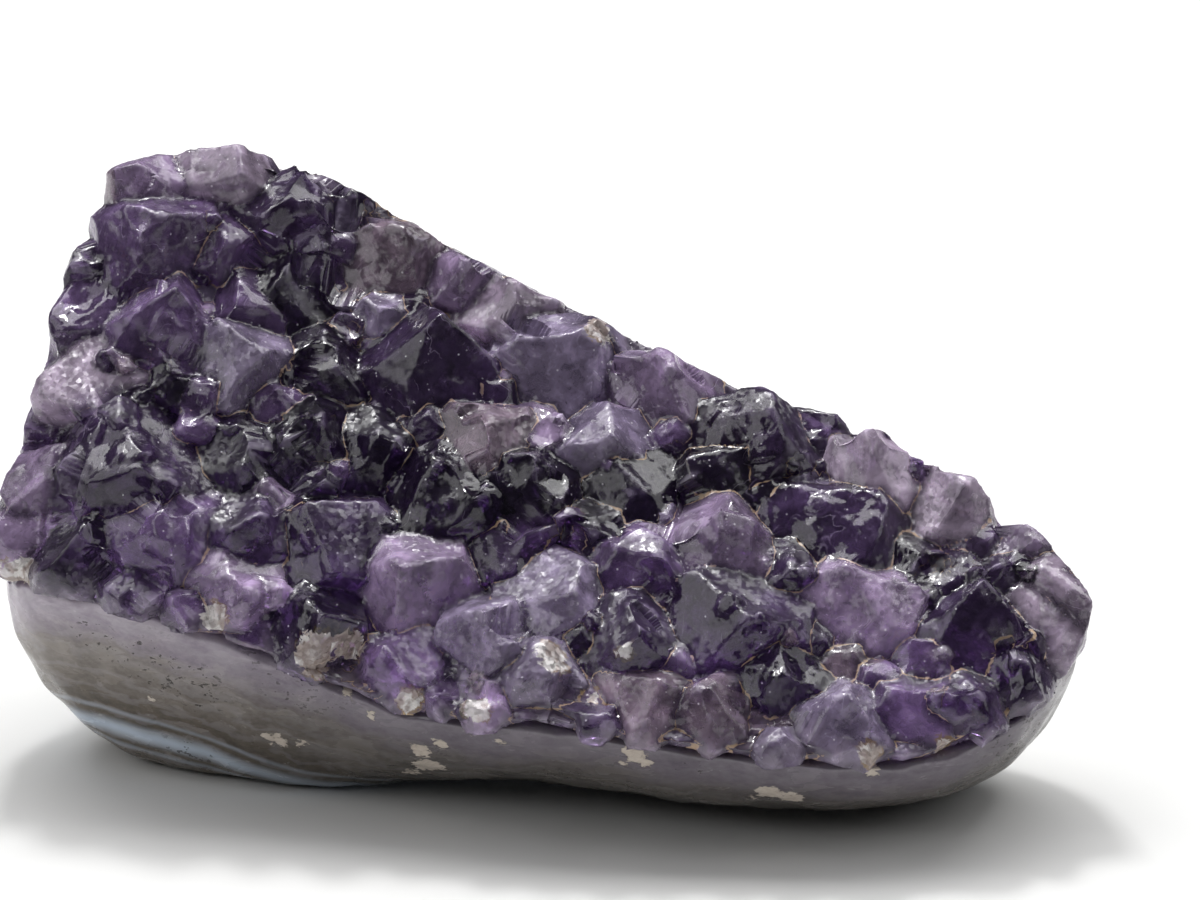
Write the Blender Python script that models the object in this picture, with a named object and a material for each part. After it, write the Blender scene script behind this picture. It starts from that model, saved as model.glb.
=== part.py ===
"""Amethyst cluster: a druse of grown-together amethyst points on its ground and polished agate rind.

Lengths are in millimetres until the finished meshes are scaled to metres. X runs along the piece,
Y away from the viewer and Z up. The origin ends under the middle of the bounding box, on the sole.
"""

import math
import random

import bmesh
import bpy
from mathutils import Matrix, Vector

MM = 0.001

# The rim is the line where the crystals meet the rind. Both lists run from the left end of the
# piece to its right end, the first along the front and the second along the back.
FRONT_RIM = (
    (-55.0, 1.0, 19.5),
    (-51.5, -7.0, 20.5),
    (-40.0, -12.5, 20.0),
    (-25.0, -17.0, 16.0),
    (-13.0, -20.5, 12.5),
    (0.0, -24.0, 13.0),
    (12.0, -25.5, 11.5),
    (24.0, -26.5, 10.5),
    (35.0, -26.0, 10.5),
    (44.0, -21.5, 12.5),
    (49.0, -15.0, 15.5),
    (51.0, -9.0, 17.5),
)
BACK_RIM = (
    (-55.0, 1.0, 19.5),
    (-51.5, 10.0, 34.0),
    (-46.0, 20.5, 51.5),
    (-35.0, 26.5, 55.3),
    (-22.0, 25.5, 51.8),
    (-10.0, 21.5, 45.6),
    (2.0, 17.0, 40.8),
    (13.0, 12.5, 36.8),
    (25.0, 8.0, 32.3),
    (36.5, 3.0, 27.5),
    (46.5, -3.0, 22.0),
    (51.0, -9.0, 17.5),
)
BED_NORMAL = Vector((0.0, -0.6, 0.8))

# The rind. Shares are of the way from the middle of the bed to the rim, or of the rim's height.
GAP = 0.3
BED_DEPTH = 7.0
SOLE_LENGTH = 0.74
SOLE_FRONT_LEFT = 0.72
SOLE_FRONT_RIGHT = 0.0
SOLE_BACK = 0.62
SOLE_TAPER = 60.0
WAIST_X = -2.0
WAIST_WIDTH = 10.0
WAIST_DEPTH = 9.0
BELLY_DROP = 0.34
BELLY_SWELL = 0.05
BELLY_LEAST = 1.0
HEEL_REACH = 0.74
HEEL_LIFT = 0.06
COLUMNS = 26
CRUST_COLUMNS = 19
END_CROWDING = 0.6
BED_ROWS = 6
SIDE_ROWS = 9

# The druse. Heights are above the surface that the rim spans.
CRUST_TOP = 1.2
CRUST_DIP = 3.4
CRUST_ROOT = 3.0
CRUST_SHRINK = 0.985
HEADROOM = 20.0
PROUD_FRONT = 1.3
PROUD_BACK = 0.15
BACK_LEAN = 0.8
GROUND_LEFT = -44.0
GROUND_RIGHT = 26.0
GROUND_FADE = 7.0
WELD = 0.004

# A quartz crystal: six sides, and six head faces that lean 51.8 degrees from the axis. Ranges are
# shares of the width, and every other head face is a large one.
HEAD_TILT = math.radians(51.8)
RISE = 2.6
RISE_PER_WIDTH = 0.40
SPREAD = 1.42
ROOT_DEPTH = 11.0
SIDE_REACH = (0.38, 0.52)
LARGE_FACE = (-0.05, 0.02)
SMALL_FACE = (0.0, 0.14)
CHIPPED_SHARE = 0.8
CHIP_TILT = (0.1, 0.6)
CHIP_DEPTH = (0.08, 0.26)
WOBBLE = 0.15
CRYSTAL_SEED = 27

# Small crystals in the gaps
FILL_SEED = 4
FILL_TRIES = 2500
FILL_SPACING = 0.43
FILL_WIDTHS = (3.0, 6.0)
FILL_ACROSS = (-54.0, 52.0)
FILL_UP = (0.02, 1.0)
FILL_LIFT = (-1.3, 0.1)
FILL_LEAN = (-12.0, 12.0)

# The crystals that stand out, as x in mm, the share of the way up the slope from the front rim to
# the back rim, the width in mm, how far the tip stands above (or below) the usual height, and the
# lean of the tip to the right in degrees.
CRYSTALS = (
    (-43.5, 0.96, 8.0, 0.6, -14),
    (-34.5, 0.95, 9.5, 1.4, -4),
    (-27.0, 0.89, 10.0, 0.8, 6),
    (-21.5, 0.97, 7.0, 0.4, 8),
    (-41.5, 0.82, 11.0, 1.2, -12),
    (-33.5, 0.79, 7.0, -0.4, 4),
    (-39.0, 0.64, 9.5, 0.6, 5),
    (-48.0, 0.82, 7.0, 0.0, -20),
    (-47.5, 0.62, 8.0, 0.6, -16),
    (-31.5, 0.56, 8.5, 0.4, 10),
    (-26.0, 0.74, 9.5, -1.4, 0),
    (-23.5, 0.60, 9.5, -1.8, -8),
    (-31.0, 0.68, 7.5, -1.4, 8),
    (-16.0, 0.90, 10.0, 0.4, 6),
    (-9.5, 0.93, 7.0, 0.8, -6),
    (-4.5, 0.94, 9.0, 1.0, 12),
    (4.5, 0.96, 6.0, 0.0, 0),
    (0.0, 0.80, 12.0, 0.8, -6),
    (11.5, 0.90, 10.0, 0.8, -10),
    (19.5, 0.87, 12.0, 0.8, 8),
    (26.0, 0.96, 7.0, 0.4, 6),
    (32.5, 0.90, 9.0, 2.4, -8),
    (39.5, 0.91, 8.5, 2.0, 12),
    (41.5, 0.78, 5.0, 0.6, 0),
    (46.0, 0.88, 7.5, 1.4, 14),
    (50.5, 0.70, 9.5, 2.2, 34),
    (-12.5, 0.69, 11.5, 0.6, 8),
    (-24.0, 0.45, 6.5, 0.0, 0),
    (-17.5, 0.47, 8.0, -0.8, 10),
    (-6.5, 0.57, 8.5, 1.2, -10),
    (-1.0, 0.63, 6.0, -0.2, 8),
    (4.5, 0.66, 8.5, 0.4, -6),
    (-43.0, 0.33, 13.0, 1.0, -6),
    (-50.5, 0.42, 7.5, 0.8, -24),
    (-52.5, 0.28, 7.0, 1.6, -34),
    (-46.5, 0.09, 9.0, 0.0, -14),
    (-37.0, 0.18, 10.0, 0.4, 4),
    (-31.5, 0.37, 8.5, -0.6, -8),
    (-21.0, 0.27, 9.5, 0.6, -6),
    (-29.5, 0.22, 8.5, 0.0, 8),
    (-14.0, 0.24, 9.5, 0.8, 12),
    (-10.5, 0.41, 11.0, 0.4, -8),
    (-1.5, 0.50, 9.5, 0.2, 6),
    (8.0, 0.59, 9.5, -0.6, 4),
    (15.5, 0.67, 9.5, -0.8, -8),
    (16.5, 0.49, 10.5, 0.8, 8),
    (8.5, 0.39, 8.5, 0.6, -10),
    (0.0, 0.28, 8.5, 0.4, 6),
    (-6.0, 0.17, 7.5, 0.4, -6),
    (7.5, 0.20, 8.0, 0.6, 8),
    (16.5, 0.29, 11.5, 1.2, -6),
    (28.5, 0.63, 13.0, 0.8, 4),
    (31.5, 0.42, 10.5, 0.8, 14),
    (23.0, 0.45, 8.5, -0.8, -8),
    (35.5, 0.57, 6.5, -0.4, 0),
    (39.5, 0.55, 6.5, 0.0, 10),
    (44.5, 0.60, 7.5, 0.4, 8),
    (41.0, 0.35, 11.0, 0.8, -6),
    (49.5, 0.32, 9.5, 1.0, 22),
    (-22.5, 0.08, 8.0, 1.0, -4),
    (-14.0, 0.08, 7.0, 0.2, 8),
    (-1.0, 0.10, 6.0, 0.4, -8),
    (8.5, 0.08, 7.5, 0.0, 8),
    (15.0, 0.09, 6.5, 0.2, -6),
    (22.0, 0.19, 7.5, 0.2, 8),
    (27.5, 0.10, 8.0, 0.4, -8),
    (34.5, 0.12, 7.5, 0.2, 6),
    (39.0, 0.10, 7.0, 0.4, 12),
    (44.5, 0.18, 8.0, 0.4, 10),
    (-30.5, 0.10, 8.0, 0.0, -4),
    (-54.0, 0.55, 5.0, 0.0, -34),
)


def clear_scene():
    for obj in list(bpy.data.objects):
        bpy.data.objects.remove(obj, do_unlink=True)


def curve_at(points, place):
    """A closed smooth curve through the points, which a whole number of place picks out."""
    start = math.floor(place)
    t = place - start
    p0, p1, p2, p3 = (Vector(points[(start + step) % len(points)]) for step in (-1, 0, 1, 2))
    return 0.5 * (
        2 * p1
        + (p2 - p0) * t
        + (2 * p0 - 5 * p1 + 4 * p2 - p3) * t * t
        + (3 * p1 - p0 - 3 * p2 + p3) * t * t * t
    )


RIM = FRONT_RIM + BACK_RIM[-2:0:-1]
RIM_STEPS = len(FRONT_RIM) - 1


def front_point(t):
    return curve_at(RIM, t * RIM_STEPS)


def back_point(t):
    return curve_at(RIM, 2 * RIM_STEPS - t * RIM_STEPS)


def slope_point(t, v):
    """The surface that the rim spans: t from left to right, v from front to back."""
    return front_point(t).lerp(back_point(t), v)


def place_at(x, v):
    """The t at which the slope reaches this x."""
    low, high = 0.0, 1.0
    for _ in range(30):
        middle = (low + high) / 2
        if slope_point(middle, v).x < x:
            low = middle
        else:
            high = middle
    return low


def slope_normal(t, v):
    across = slope_point(min(t + 0.02, 1), v) - slope_point(max(t - 0.02, 0), v)
    upward = slope_point(t, min(v + 0.05, 1)) - slope_point(t, max(v - 0.05, 0))
    return across.cross(upward).normalized() if t > 0 and t < 1 else BED_NORMAL.copy()


def column_places(columns):
    """Columns crowd towards the two ends, where the rim turns round."""
    places = []
    for i in range(columns + 1):
        even = i / columns
        crowded = 0.5 - 0.5 * math.cos(math.pi * even)
        places.append(even + END_CROWDING * (crowded - even))
    return places


def bowl(t, v):
    """How far the bed dips below the rim, from 0 at the rim to 1 in the middle."""
    return (4 * t * (1 - t)) ** 0.6 * (4 * v * (1 - v)) ** 0.8


def rim_ring(columns=COLUMNS):
    places = column_places(columns)
    front = [front_point(t) for t in places]
    back = [back_point(t) for t in reversed(places[1:-1])]
    return front + back


def rim_outwards(columns=COLUMNS):
    """The direction away from the piece, in the plane of the bed, at each rim point."""
    ring = rim_ring(columns)
    ahead = ring[1:] + ring[:1]
    behind = ring[-1:] + ring[:-1]
    return [(b - a).cross(BED_NORMAL).normalized() for a, b in zip(behind, ahead)]


def add_grid(bm, height, columns=COLUMNS):
    """A sheet over the whole bed. Returns its border in the order of rim_ring."""
    places = column_places(columns)
    rows = []
    for j in range(BED_ROWS + 1):
        v = j / BED_ROWS
        row = []
        for i, t in enumerate(places):
            if rows and i in (0, columns):
                row.append(rows[0][i])
            else:
                row.append(bm.verts.new(slope_point(t, v) + BED_NORMAL * height(t, v)))
        rows.append(row)
    for low, high in zip(rows, rows[1:]):
        for i in range(columns):
            corners = [low[i], low[i + 1], high[i + 1], high[i]]
            bm.faces.new(dict.fromkeys(corners))
    return rows[0] + rows[-1][-2:0:-1]


def add_ring(bm, points):
    return [bm.verts.new(point) for point in points]


def bridge(bm, ring_a, ring_b):
    for i in range(len(ring_a)):
        j = (i + 1) % len(ring_a)
        bm.faces.new((ring_a[i], ring_a[j], ring_b[j], ring_b[i]))


def finished_mesh(bm, name):
    bmesh.ops.recalc_face_normals(bm, faces=bm.faces[:])
    mesh = bpy.data.meshes.new(name)
    bm.to_mesh(mesh)
    bm.free()
    return mesh


def link(name, mesh, helper=False):
    obj = bpy.data.objects.new(name, mesh)
    bpy.context.scene.collection.objects.link(obj)
    if helper:
        obj.hide_render = True
        obj.display_type = "WIRE"
    return obj


def sole_point(rim, middle_y):
    """Where the side below a rim point reaches the sole."""
    reach = rim.y - middle_y
    x = rim.x * SOLE_LENGTH
    right = min(max(0.5 + rim.x / SOLE_TAPER, 0.0), 1.0)
    front = SOLE_FRONT_LEFT + (SOLE_FRONT_RIGHT - SOLE_FRONT_LEFT) * right
    share = front if reach < 0 else SOLE_BACK
    waist = math.exp(-(((x - WAIST_X) / WAIST_WIDTH) ** 2)) if reach < 0 else 0.0
    return Vector((x, middle_y + reach * share + WAIST_DEPTH * waist, 0.0))


def side_point(rim, sole, outward, share):
    """A belly from the rim down to the sole, as a cubic curve."""
    away = Vector((rim.x - sole.x, rim.y - sole.y, 0.0))
    swell = outward * (BELLY_SWELL * rim.z + BELLY_LEAST)
    upper = rim - BED_NORMAL * (BELLY_DROP * rim.z) + swell
    lower = sole + away * HEEL_REACH + Vector((0.0, 0.0, HEEL_LIFT * rim.z))
    rest = 1 - share
    return (
        rim * rest**3 + upper * (3 * rest**2 * share)
        + lower * (3 * rest * share**2) + sole * share**3
    )


def build_rind():
    bm = bmesh.new()
    rings = [add_grid(bm, lambda t, v: -BED_DEPTH * bowl(t, v))]
    rim = rim_ring()
    outwards = rim_outwards()
    middles = [slope_point(t, 0.5).y for t in column_places(COLUMNS)]
    middles += middles[-2:0:-1]
    soles = [sole_point(point, middle) for point, middle in zip(rim, middles)]
    for step in range(1, SIDE_ROWS + 1):
        share = step / SIDE_ROWS
        points = [
            side_point(point, sole, outward, share)
            for point, sole, outward in zip(rim, soles, outwards)
        ]
        rings.append(add_ring(bm, points))
    for upper, lower in zip(rings, rings[1:]):
        bridge(bm, upper, lower)
    bm.faces.new(rings[-1])
    return finished_mesh(bm, "agate_base")


def build_crust():
    """The crust that the crystals grow out of. Its underside is cut by the growing room."""
    bm = bmesh.new()
    lower = add_grid(bm, lambda t, v: -BED_DEPTH * bowl(t, v) - CRUST_ROOT, CRUST_COLUMNS)
    upper = add_grid(bm, lambda t, v: CRUST_TOP - CRUST_DIP * bowl(t, v), CRUST_COLUMNS)
    bridge(bm, lower, upper)
    shrink = Matrix.Scale(CRUST_SHRINK, 4)
    middle = Matrix.Translation(slope_point(0.5, 0.5))
    bmesh.ops.transform(bm, matrix=middle @ shrink @ middle.inverted(), verts=bm.verts[:])
    return finished_mesh(bm, "crust")


def ground_lean(point, outward):
    """How far the ground back cuts inwards for each mm of height, along its straight stretch."""
    from_left = (point.x - GROUND_LEFT) / GROUND_FADE
    from_right = (GROUND_RIGHT - point.x) / GROUND_FADE
    stretch = min(max(min(from_left, from_right), 0.0), 1.0)
    return BACK_LEAN * stretch * max(outward.y, 0.0)


def build_room():
    """The room over the bed that crystals may fill: ground off along the back, proud in front."""
    bm = bmesh.new()
    floor = add_grid(bm, lambda t, v: GAP - BED_DEPTH * bowl(t, v))
    low = []
    high = []
    for point, outward in zip(rim_ring(), rim_outwards()):
        share = 0.5 - 0.5 * outward.y
        foot = point + outward * (PROUD_BACK + (PROUD_FRONT - PROUD_BACK) * share)
        way = BED_NORMAL - outward * ground_lean(point, outward)
        low.append(foot + way * GAP)
        high.append(foot + way * HEADROOM)
    low = add_ring(bm, low)
    high = add_ring(bm, high)
    bridge(bm, floor, low)
    bridge(bm, low, high)
    top = bm.verts.new(slope_point(0.5, 0.5) + BED_NORMAL * 2 * HEADROOM)
    for i in range(len(high)):
        bm.faces.new((high[i], high[(i + 1) % len(high)], top))
    return finished_mesh(bm, "growing_room")


def slice_off(bm, normal, distance):
    """Cuts a convex solid by one plane and closes the cut."""
    cut = bmesh.ops.bisect_plane(
        bm,
        geom=bm.verts[:] + bm.edges[:] + bm.faces[:],
        dist=1e-6,
        plane_co=normal * distance,
        plane_no=normal,
        clear_outer=True,
    )
    edges = [item for item in cut["geom_cut"] if isinstance(item, bmesh.types.BMEdge)]
    if edges:
        bmesh.ops.contextual_create(bm, geom=edges)


def tilted(around, tilt):
    """The direction that leans by tilt from the crystal's axis."""
    side = Vector((math.cos(around), math.sin(around), 0.0))
    return side * math.sin(tilt) + Vector((0.0, 0.0, math.cos(tilt)))


def crystal_planes(width, rise, rng):
    """Six sides and six unequal head faces, and often the flat of an old chip."""
    planes = []
    for k in range(6):
        around = math.radians(60 * k)
        planes.append((tilted(around, math.radians(90)), width * rng.uniform(*SIDE_REACH)))
        back_off = rng.uniform(*LARGE_FACE) if k % 2 else rng.uniform(*SMALL_FACE)
        planes.append((tilted(around, HEAD_TILT), rise * math.cos(HEAD_TILT) + back_off * width))
    if rng.random() < CHIPPED_SHARE:
        tilt = rng.uniform(*CHIP_TILT)
        chip = tilted(rng.uniform(0.0, math.tau), tilt)
        planes.append((chip, rise * math.cos(tilt) - width * rng.uniform(*CHIP_DEPTH)))
    return planes


def build_crystal(name, x, v, width, extra, lean, rng):
    """One convex crystal, standing on the slope at x and v."""
    t = place_at(x, v)
    foot = slope_point(t, v)
    axis = slope_normal(t, v)
    axis = Matrix.Rotation(math.radians(lean), 3, "Y") @ axis
    wobble = Vector((rng.gauss(0, WOBBLE), rng.gauss(0, WOBBLE), rng.gauss(0, WOBBLE)))
    axis = (axis + wobble).normalized()
    rise = RISE + RISE_PER_WIDTH * width + extra
    width *= SPREAD
    bm = bmesh.new()
    bmesh.ops.create_cube(bm, size=4 * HEADROOM)
    for normal, distance in crystal_planes(width, rise, rng):
        slice_off(bm, normal, distance)
    slice_off(bm, Vector((0.0, 0.0, -1.0)), ROOT_DEPTH)
    turn = axis.to_track_quat("Z", "Y").to_matrix().to_4x4()
    spin = Matrix.Rotation(rng.uniform(0.0, math.tau), 4, "Z")
    bmesh.ops.transform(bm, matrix=Matrix.Translation(foot) @ turn @ spin, verts=bm.verts[:])
    return link(name, finished_mesh(bm, name), helper=True)


def fill_spots(rng):
    """Small crystals wherever the listed ones leave room."""
    taken = [(slope_point(place_at(x, v), v), width) for x, v, width, _, _ in CRYSTALS]
    spots = []
    for _ in range(FILL_TRIES):
        x = rng.uniform(*FILL_ACROSS)
        v = rng.uniform(*FILL_UP)
        width = rng.uniform(*FILL_WIDTHS)
        here = slope_point(place_at(x, v), v)
        if all((here - there).length > FILL_SPACING * (width + other) for there, other in taken):
            taken.append((here, width))
            spots.append((x, v, width, rng.uniform(*FILL_LIFT), rng.uniform(*FILL_LEAN)))
    return spots


def with_boolean(obj, operation, other=None, collection=None):
    modifier = obj.modifiers.new(operation.lower(), "BOOLEAN")
    modifier.operation = operation
    modifier.solver = "EXACT"
    if collection:
        modifier.operand_type = "COLLECTION"
        modifier.collection = collection
    else:
        modifier.object = other


def largest_island(bm):
    """Drops the crumbs that the trim leaves loose."""
    left = set(bm.verts)
    islands = []
    while left:
        queue = [left.pop()]
        island = set(queue)
        while queue:
            for edge in queue.pop().link_edges:
                for vert in edge.verts:
                    if vert not in island:
                        island.add(vert)
                        queue.append(vert)
        left -= island
        islands.append(island)
    keep = max(islands, key=len)
    loose = [vert for vert in bm.verts if vert not in keep]
    bmesh.ops.delete(bm, geom=loose, context="VERTS")


def build_druse():
    rng = random.Random(CRYSTAL_SEED)
    spots = list(CRYSTALS) + fill_spots(random.Random(FILL_SEED))
    points = bpy.data.collections.new("points")
    bpy.context.scene.collection.children.link(points)
    for number, (x, v, width, extra, lean) in enumerate(spots):
        crystal = build_crystal(f"point_{number}", x, v, width, extra, lean, rng)
        bpy.context.scene.collection.objects.unlink(crystal)
        points.objects.link(crystal)
    room = link("growing_room", build_room(), helper=True)
    druse = link("amethyst_crystals", build_crust())
    with_boolean(druse, "UNION", collection=points)
    with_boolean(druse, "INTERSECT", other=room)
    bpy.context.view_layer.update()
    evaluated = druse.evaluated_get(bpy.context.evaluated_depsgraph_get())
    bm = bmesh.new()
    bm.from_mesh(evaluated.to_mesh())
    evaluated.to_mesh_clear()
    bmesh.ops.remove_doubles(bm, verts=bm.verts[:], dist=WELD)
    bmesh.ops.dissolve_degenerate(bm, edges=bm.edges[:], dist=WELD)
    largest_island(bm)
    mesh = finished_mesh(bm, "amethyst_crystals")
    for helper in [*points.objects, room, druse]:
        bpy.data.objects.remove(helper, do_unlink=True)
    bpy.data.collections.remove(points)
    return mesh


def principled(name, colour, roughness, transmission=0.0):
    material = bpy.data.materials.new(name)
    material.use_nodes = True
    shader = material.node_tree.nodes["Principled BSDF"]
    shader.inputs["Base Color"].default_value = (*colour, 1.0)
    shader.inputs["Roughness"].default_value = roughness
    shader.inputs["Transmission Weight"].default_value = transmission
    material.diffuse_color = (*colour, 1.0)
    return material


def stand_on_origin(meshes):
    """Moves the middle of the bounding box over the origin, and scales to metres."""
    corners = [vert.co for mesh in meshes for vert in mesh.vertices]
    low = Vector(min(corner[axis] for corner in corners) for axis in range(3))
    high = Vector(max(corner[axis] for corner in corners) for axis in range(3))
    shift = Matrix.Translation((-(low.x + high.x) / 2, -(low.y + high.y) / 2, -low.z))
    for mesh in meshes:
        mesh.transform(Matrix.Scale(MM, 4) @ shift)


def main():
    clear_scene()
    rind = build_rind()
    rind.shade_smooth()
    rind.set_sharp_from_angle(angle=math.radians(40))
    druse = build_druse()
    stand_on_origin([rind, druse])
    rind.materials.append(principled("agate", (0.30, 0.27, 0.29), 0.25))
    druse.materials.append(principled("amethyst", (0.16, 0.09, 0.28), 0.15, transmission=0.6))
    link("agate_base", rind)
    link("amethyst_crystals", druse)


main()
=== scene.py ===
"""Looks of the amethyst cluster: worn, glassy amethyst points on a polished agate rind.

Lengths are in metres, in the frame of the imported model: X along the piece, Y away from the viewer,
Z up, the sole at z = 0. MM turns millimetres into metres.
"""

import math
import random

import bmesh
import bpy
import numpy as np
from mathutils import Matrix, Vector
from mathutils.bvhtree import BVHTree
from mathutils.kdtree import KDTree


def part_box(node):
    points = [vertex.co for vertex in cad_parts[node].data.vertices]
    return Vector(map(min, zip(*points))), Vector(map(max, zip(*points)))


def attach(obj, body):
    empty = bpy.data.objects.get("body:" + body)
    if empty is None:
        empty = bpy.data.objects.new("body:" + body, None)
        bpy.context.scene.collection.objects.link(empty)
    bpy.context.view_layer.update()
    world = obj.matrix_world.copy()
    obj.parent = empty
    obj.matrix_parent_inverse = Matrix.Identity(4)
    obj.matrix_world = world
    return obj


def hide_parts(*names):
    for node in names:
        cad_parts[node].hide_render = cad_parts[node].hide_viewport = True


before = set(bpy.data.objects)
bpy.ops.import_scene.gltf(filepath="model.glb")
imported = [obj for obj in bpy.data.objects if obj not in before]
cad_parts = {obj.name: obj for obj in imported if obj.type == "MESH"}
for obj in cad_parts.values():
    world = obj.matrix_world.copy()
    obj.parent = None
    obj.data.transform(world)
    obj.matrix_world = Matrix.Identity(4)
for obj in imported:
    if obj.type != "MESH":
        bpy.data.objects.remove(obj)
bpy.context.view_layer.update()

MM = 0.001

# The camera of the photograph, found from the weave of the cloth that the piece stands on
PHOTO_WIDTH = 1200
PHOTO_HEIGHT = 900
LENS = 102.0
SENSOR = 36.0
CAMERA_PLACE = Vector((6.44, -317.11, 150.0)) * MM
CAMERA_PITCH = math.radians(69.5)

# The slope that the crystals grow on faces this way
BED_NORMAL = np.array((0.0, -0.6, 0.8))
BED_UPWARD = np.array((0.0, 0.8, 0.6))

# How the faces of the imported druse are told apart. Points closer than WELD are one, and a
# neighbour that rises by more than CREASE is across a seam. A face is ground if its normal points
# back by more than GROUND_BACK, hidden if it points off the slope by less than UNDERSIDE, and near
# the lower edge if by less than SLOPE_EDGE.
WELD = 1e-7
CREASE = 2e-6
GROUND_BACK = 0.3
UNDERSIDE = -0.1
SLOPE_EDGE = 0.15

# Each seed picks one pattern of many
SHAPE_SEED = 5
KIND_SEED = 8
SHADE_SEED = 3
FACET_SEED = 4

# Druse mesh: how fine it is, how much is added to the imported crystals, and how worn it gets
VOXEL = 0.27 * MM
MOST_TRIANGLES = 192000
FLAT_ANGLE = math.radians(2.0)
SAME_CRYSTAL_ANGLE = math.radians(68.0)
BLOCKS = 110
SMALL_POINTS = 45
CHIPS = 170
BLOCK_PROUD = 1.2 * MM
POINT_PROUD = 2.2 * MM
ROUNDING_STEPS = 3
ROUNDING = 0.75
SHARP_ANGLE = math.radians(40)
SEAM_STEP = 0.3 * MM

# The valleys are made shallower by this share of their depth below the mean height round them.
# The mean is taken on a grid of this step, blurred over this many of its cells.
VALLEY_FILL = 0.40
GRID_STEP = 1.0 * MM
GRID_BLUR = 3
GRID_MARGIN = 4 * GRID_BLUR

# Rind mesh
RIND_LEVELS = 3
RIND_SMOOTHING = 6

# Kinds of crystal: colour of the body (linear), how clear it is and how frosted its skin is
KINDS = {
    "night": ((0.135, 0.092, 0.200), 0.94, 0.10),
    "deep": ((0.270, 0.168, 0.395), 0.90, 0.12),
    "violet": ((0.455, 0.295, 0.620), 0.80, 0.18),
    "lilac": ((0.560, 0.410, 0.660), 0.66, 0.34),
    "pale": ((0.685, 0.550, 0.725), 0.58, 0.48),
    "grey": ((0.430, 0.350, 0.530), 0.62, 0.55),
    "brown": ((0.470, 0.350, 0.450), 0.68, 0.34),
}

# The milky quartz that the crystals grew out of
ROOT_COLOUR = (0.30, 0.25, 0.33)

# Where the photograph shows crystals of each kind, in its pixels
SEEN = {
    "night": (
        (300, 340), (330, 300), (360, 370), (230, 440), (400, 440), (270, 300), (640, 500),
        (700, 490), (540, 500), (600, 520), (220, 400), (760, 470), (905, 560), (990, 680),
        (800, 660), (760, 640), (450, 520), (300, 420), (635, 510), (655, 490), (470, 545),
    ),
    "deep": (
        (290, 220), (435, 390), (745, 420), (745, 385), (720, 630), (840, 540), (970, 640),
        (1055, 665), (380, 500), (320, 510), (250, 520), (500, 560), (690, 590), (130, 470),
        (350, 560), (780, 410), (110, 450), (150, 480), (120, 500), (840, 505),
    ),
    "violet": (
        (160, 325), (330, 225), (230, 230), (640, 580), (85, 320), (1010, 640), (880, 560),
        (180, 440), (80, 520), (150, 560), (960, 740), (1060, 640), (410, 650), (920, 720),
    ),
    "lilac": (
        (140, 180), (400, 270), (480, 320), (1005, 520), (410, 600), (60, 480), (720, 560),
        (440, 270), (20, 520), (665, 390), (215, 590), (440, 660), (860, 610),
    ),
    "pale": (
        (90, 385), (510, 300), (870, 455), (940, 475), (1060, 590), (490, 460), (230, 155),
        (15, 560), (960, 505), (1085, 600), (500, 480), (215, 618), (470, 290), (495, 310),
    ),
    "grey": (
        (150, 240), (240, 370), (560, 385), (320, 450), (545, 455), (600, 460), (555, 600),
        (495, 640), (590, 400), (190, 560), (820, 730), (620, 470), (545, 690), (400, 300),
        (588, 752), (788, 752), (775, 745), (145, 260), (170, 235), (130, 245),
    ),
    "brown": (
        (400, 250), (640, 390), (860, 660), (700, 380), (850, 690), (480, 450), (700, 720),
    ),
}

# What the crystals that no landmark names are picked from
REST_OF = ("night", "night", "deep", "deep", "deep", "violet", "violet", "grey", "brown", "lilac")

# Broken white crystals and frosted flats: a pixel of the photograph, and a radius in mm
WHITE_SPOTS = (
    (318, 655, 2.4), (348, 645, 1.7), (598, 332, 1.5), (552, 658, 1.8), (626, 652, 0.9),
    (870, 757, 1.4), (476, 705, 1.5), (408, 700, 1.2), (216, 616, 1.4), (590, 700, 0.9),
    (945, 748, 1.0), (20, 575, 2.0),
)

# Places on the rind with dark dashes, and cream crumbs of softer rock, given the same way
DASHED = ((95, 640, 2.6), (150, 665, 3.2), (200, 690, 3.0), (690, 770, 1.4))
PATCHES = (
    (420, 750, 1.0), (428, 766, 1.5), (412, 772, 0.8), (440, 745, 0.7), (633, 752, 1.2),
    (645, 762, 0.8), (622, 764, 0.6), (770, 793, 1.3), (792, 798, 1.1), (752, 797, 0.6),
    (272, 738, 0.9), (284, 744, 0.5), (302, 744, 0.5), (345, 690, 0.8), (372, 715, 0.4),
    (470, 735, 0.6), (500, 742, 0.4), (870, 770, 0.8), (1000, 775, 0.5), (150, 700, 0.3),
)

# The colours inside the druse, linear
HAZE = (0.48, 0.41, 0.57)
DARK_VEIL = (0.050, 0.035, 0.085)
# Pale cracks, and the painted highlight on worn edges
CRACK_AND_EDGE_HIGHLIGHT = (0.53, 0.45, 0.62)
# Painted glints
PAINTED_GLINT = (0.86, 0.83, 0.90)
# Painted shade for the seams between crystals
PAINTED_SEAM_SHADE = (0.030, 0.022, 0.050)
OCHRE = ((0.26, 0.15, 0.07), (0.66, 0.47, 0.26))
WHITE_GRAINS = ((0.50, 0.41, 0.36), (1.00, 0.97, 0.93))
GOLD_RIM = (0.50, 0.34, 0.13)
QUARTZ_IOR = 1.544
ABSORBED = (0.58, 0.46, 0.66, 1.0)
ABSORPTION = 190.0

# The colours of the rind, linear. A pair is the dark and the light end of its mottle.
RIND_ROOT = ((0.21, 0.175, 0.225), (0.44, 0.39, 0.45))
RIND_MIDDLE = ((0.105, 0.088, 0.075), (0.27, 0.24, 0.22))
RIND_DEEP = ((0.045, 0.036, 0.027), (0.14, 0.115, 0.090))
RIND_EDGE = (0.20, 0.15, 0.25)
FAINT_BAND = (0.36, 0.34, 0.36)
BLUE_WHITE = (0.52, 0.60, 0.71)
DASH = (0.030, 0.024, 0.020)
CREAM = ((0.40, 0.32, 0.26), (0.76, 0.69, 0.61))
AGATE_IOR = 1.54

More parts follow.
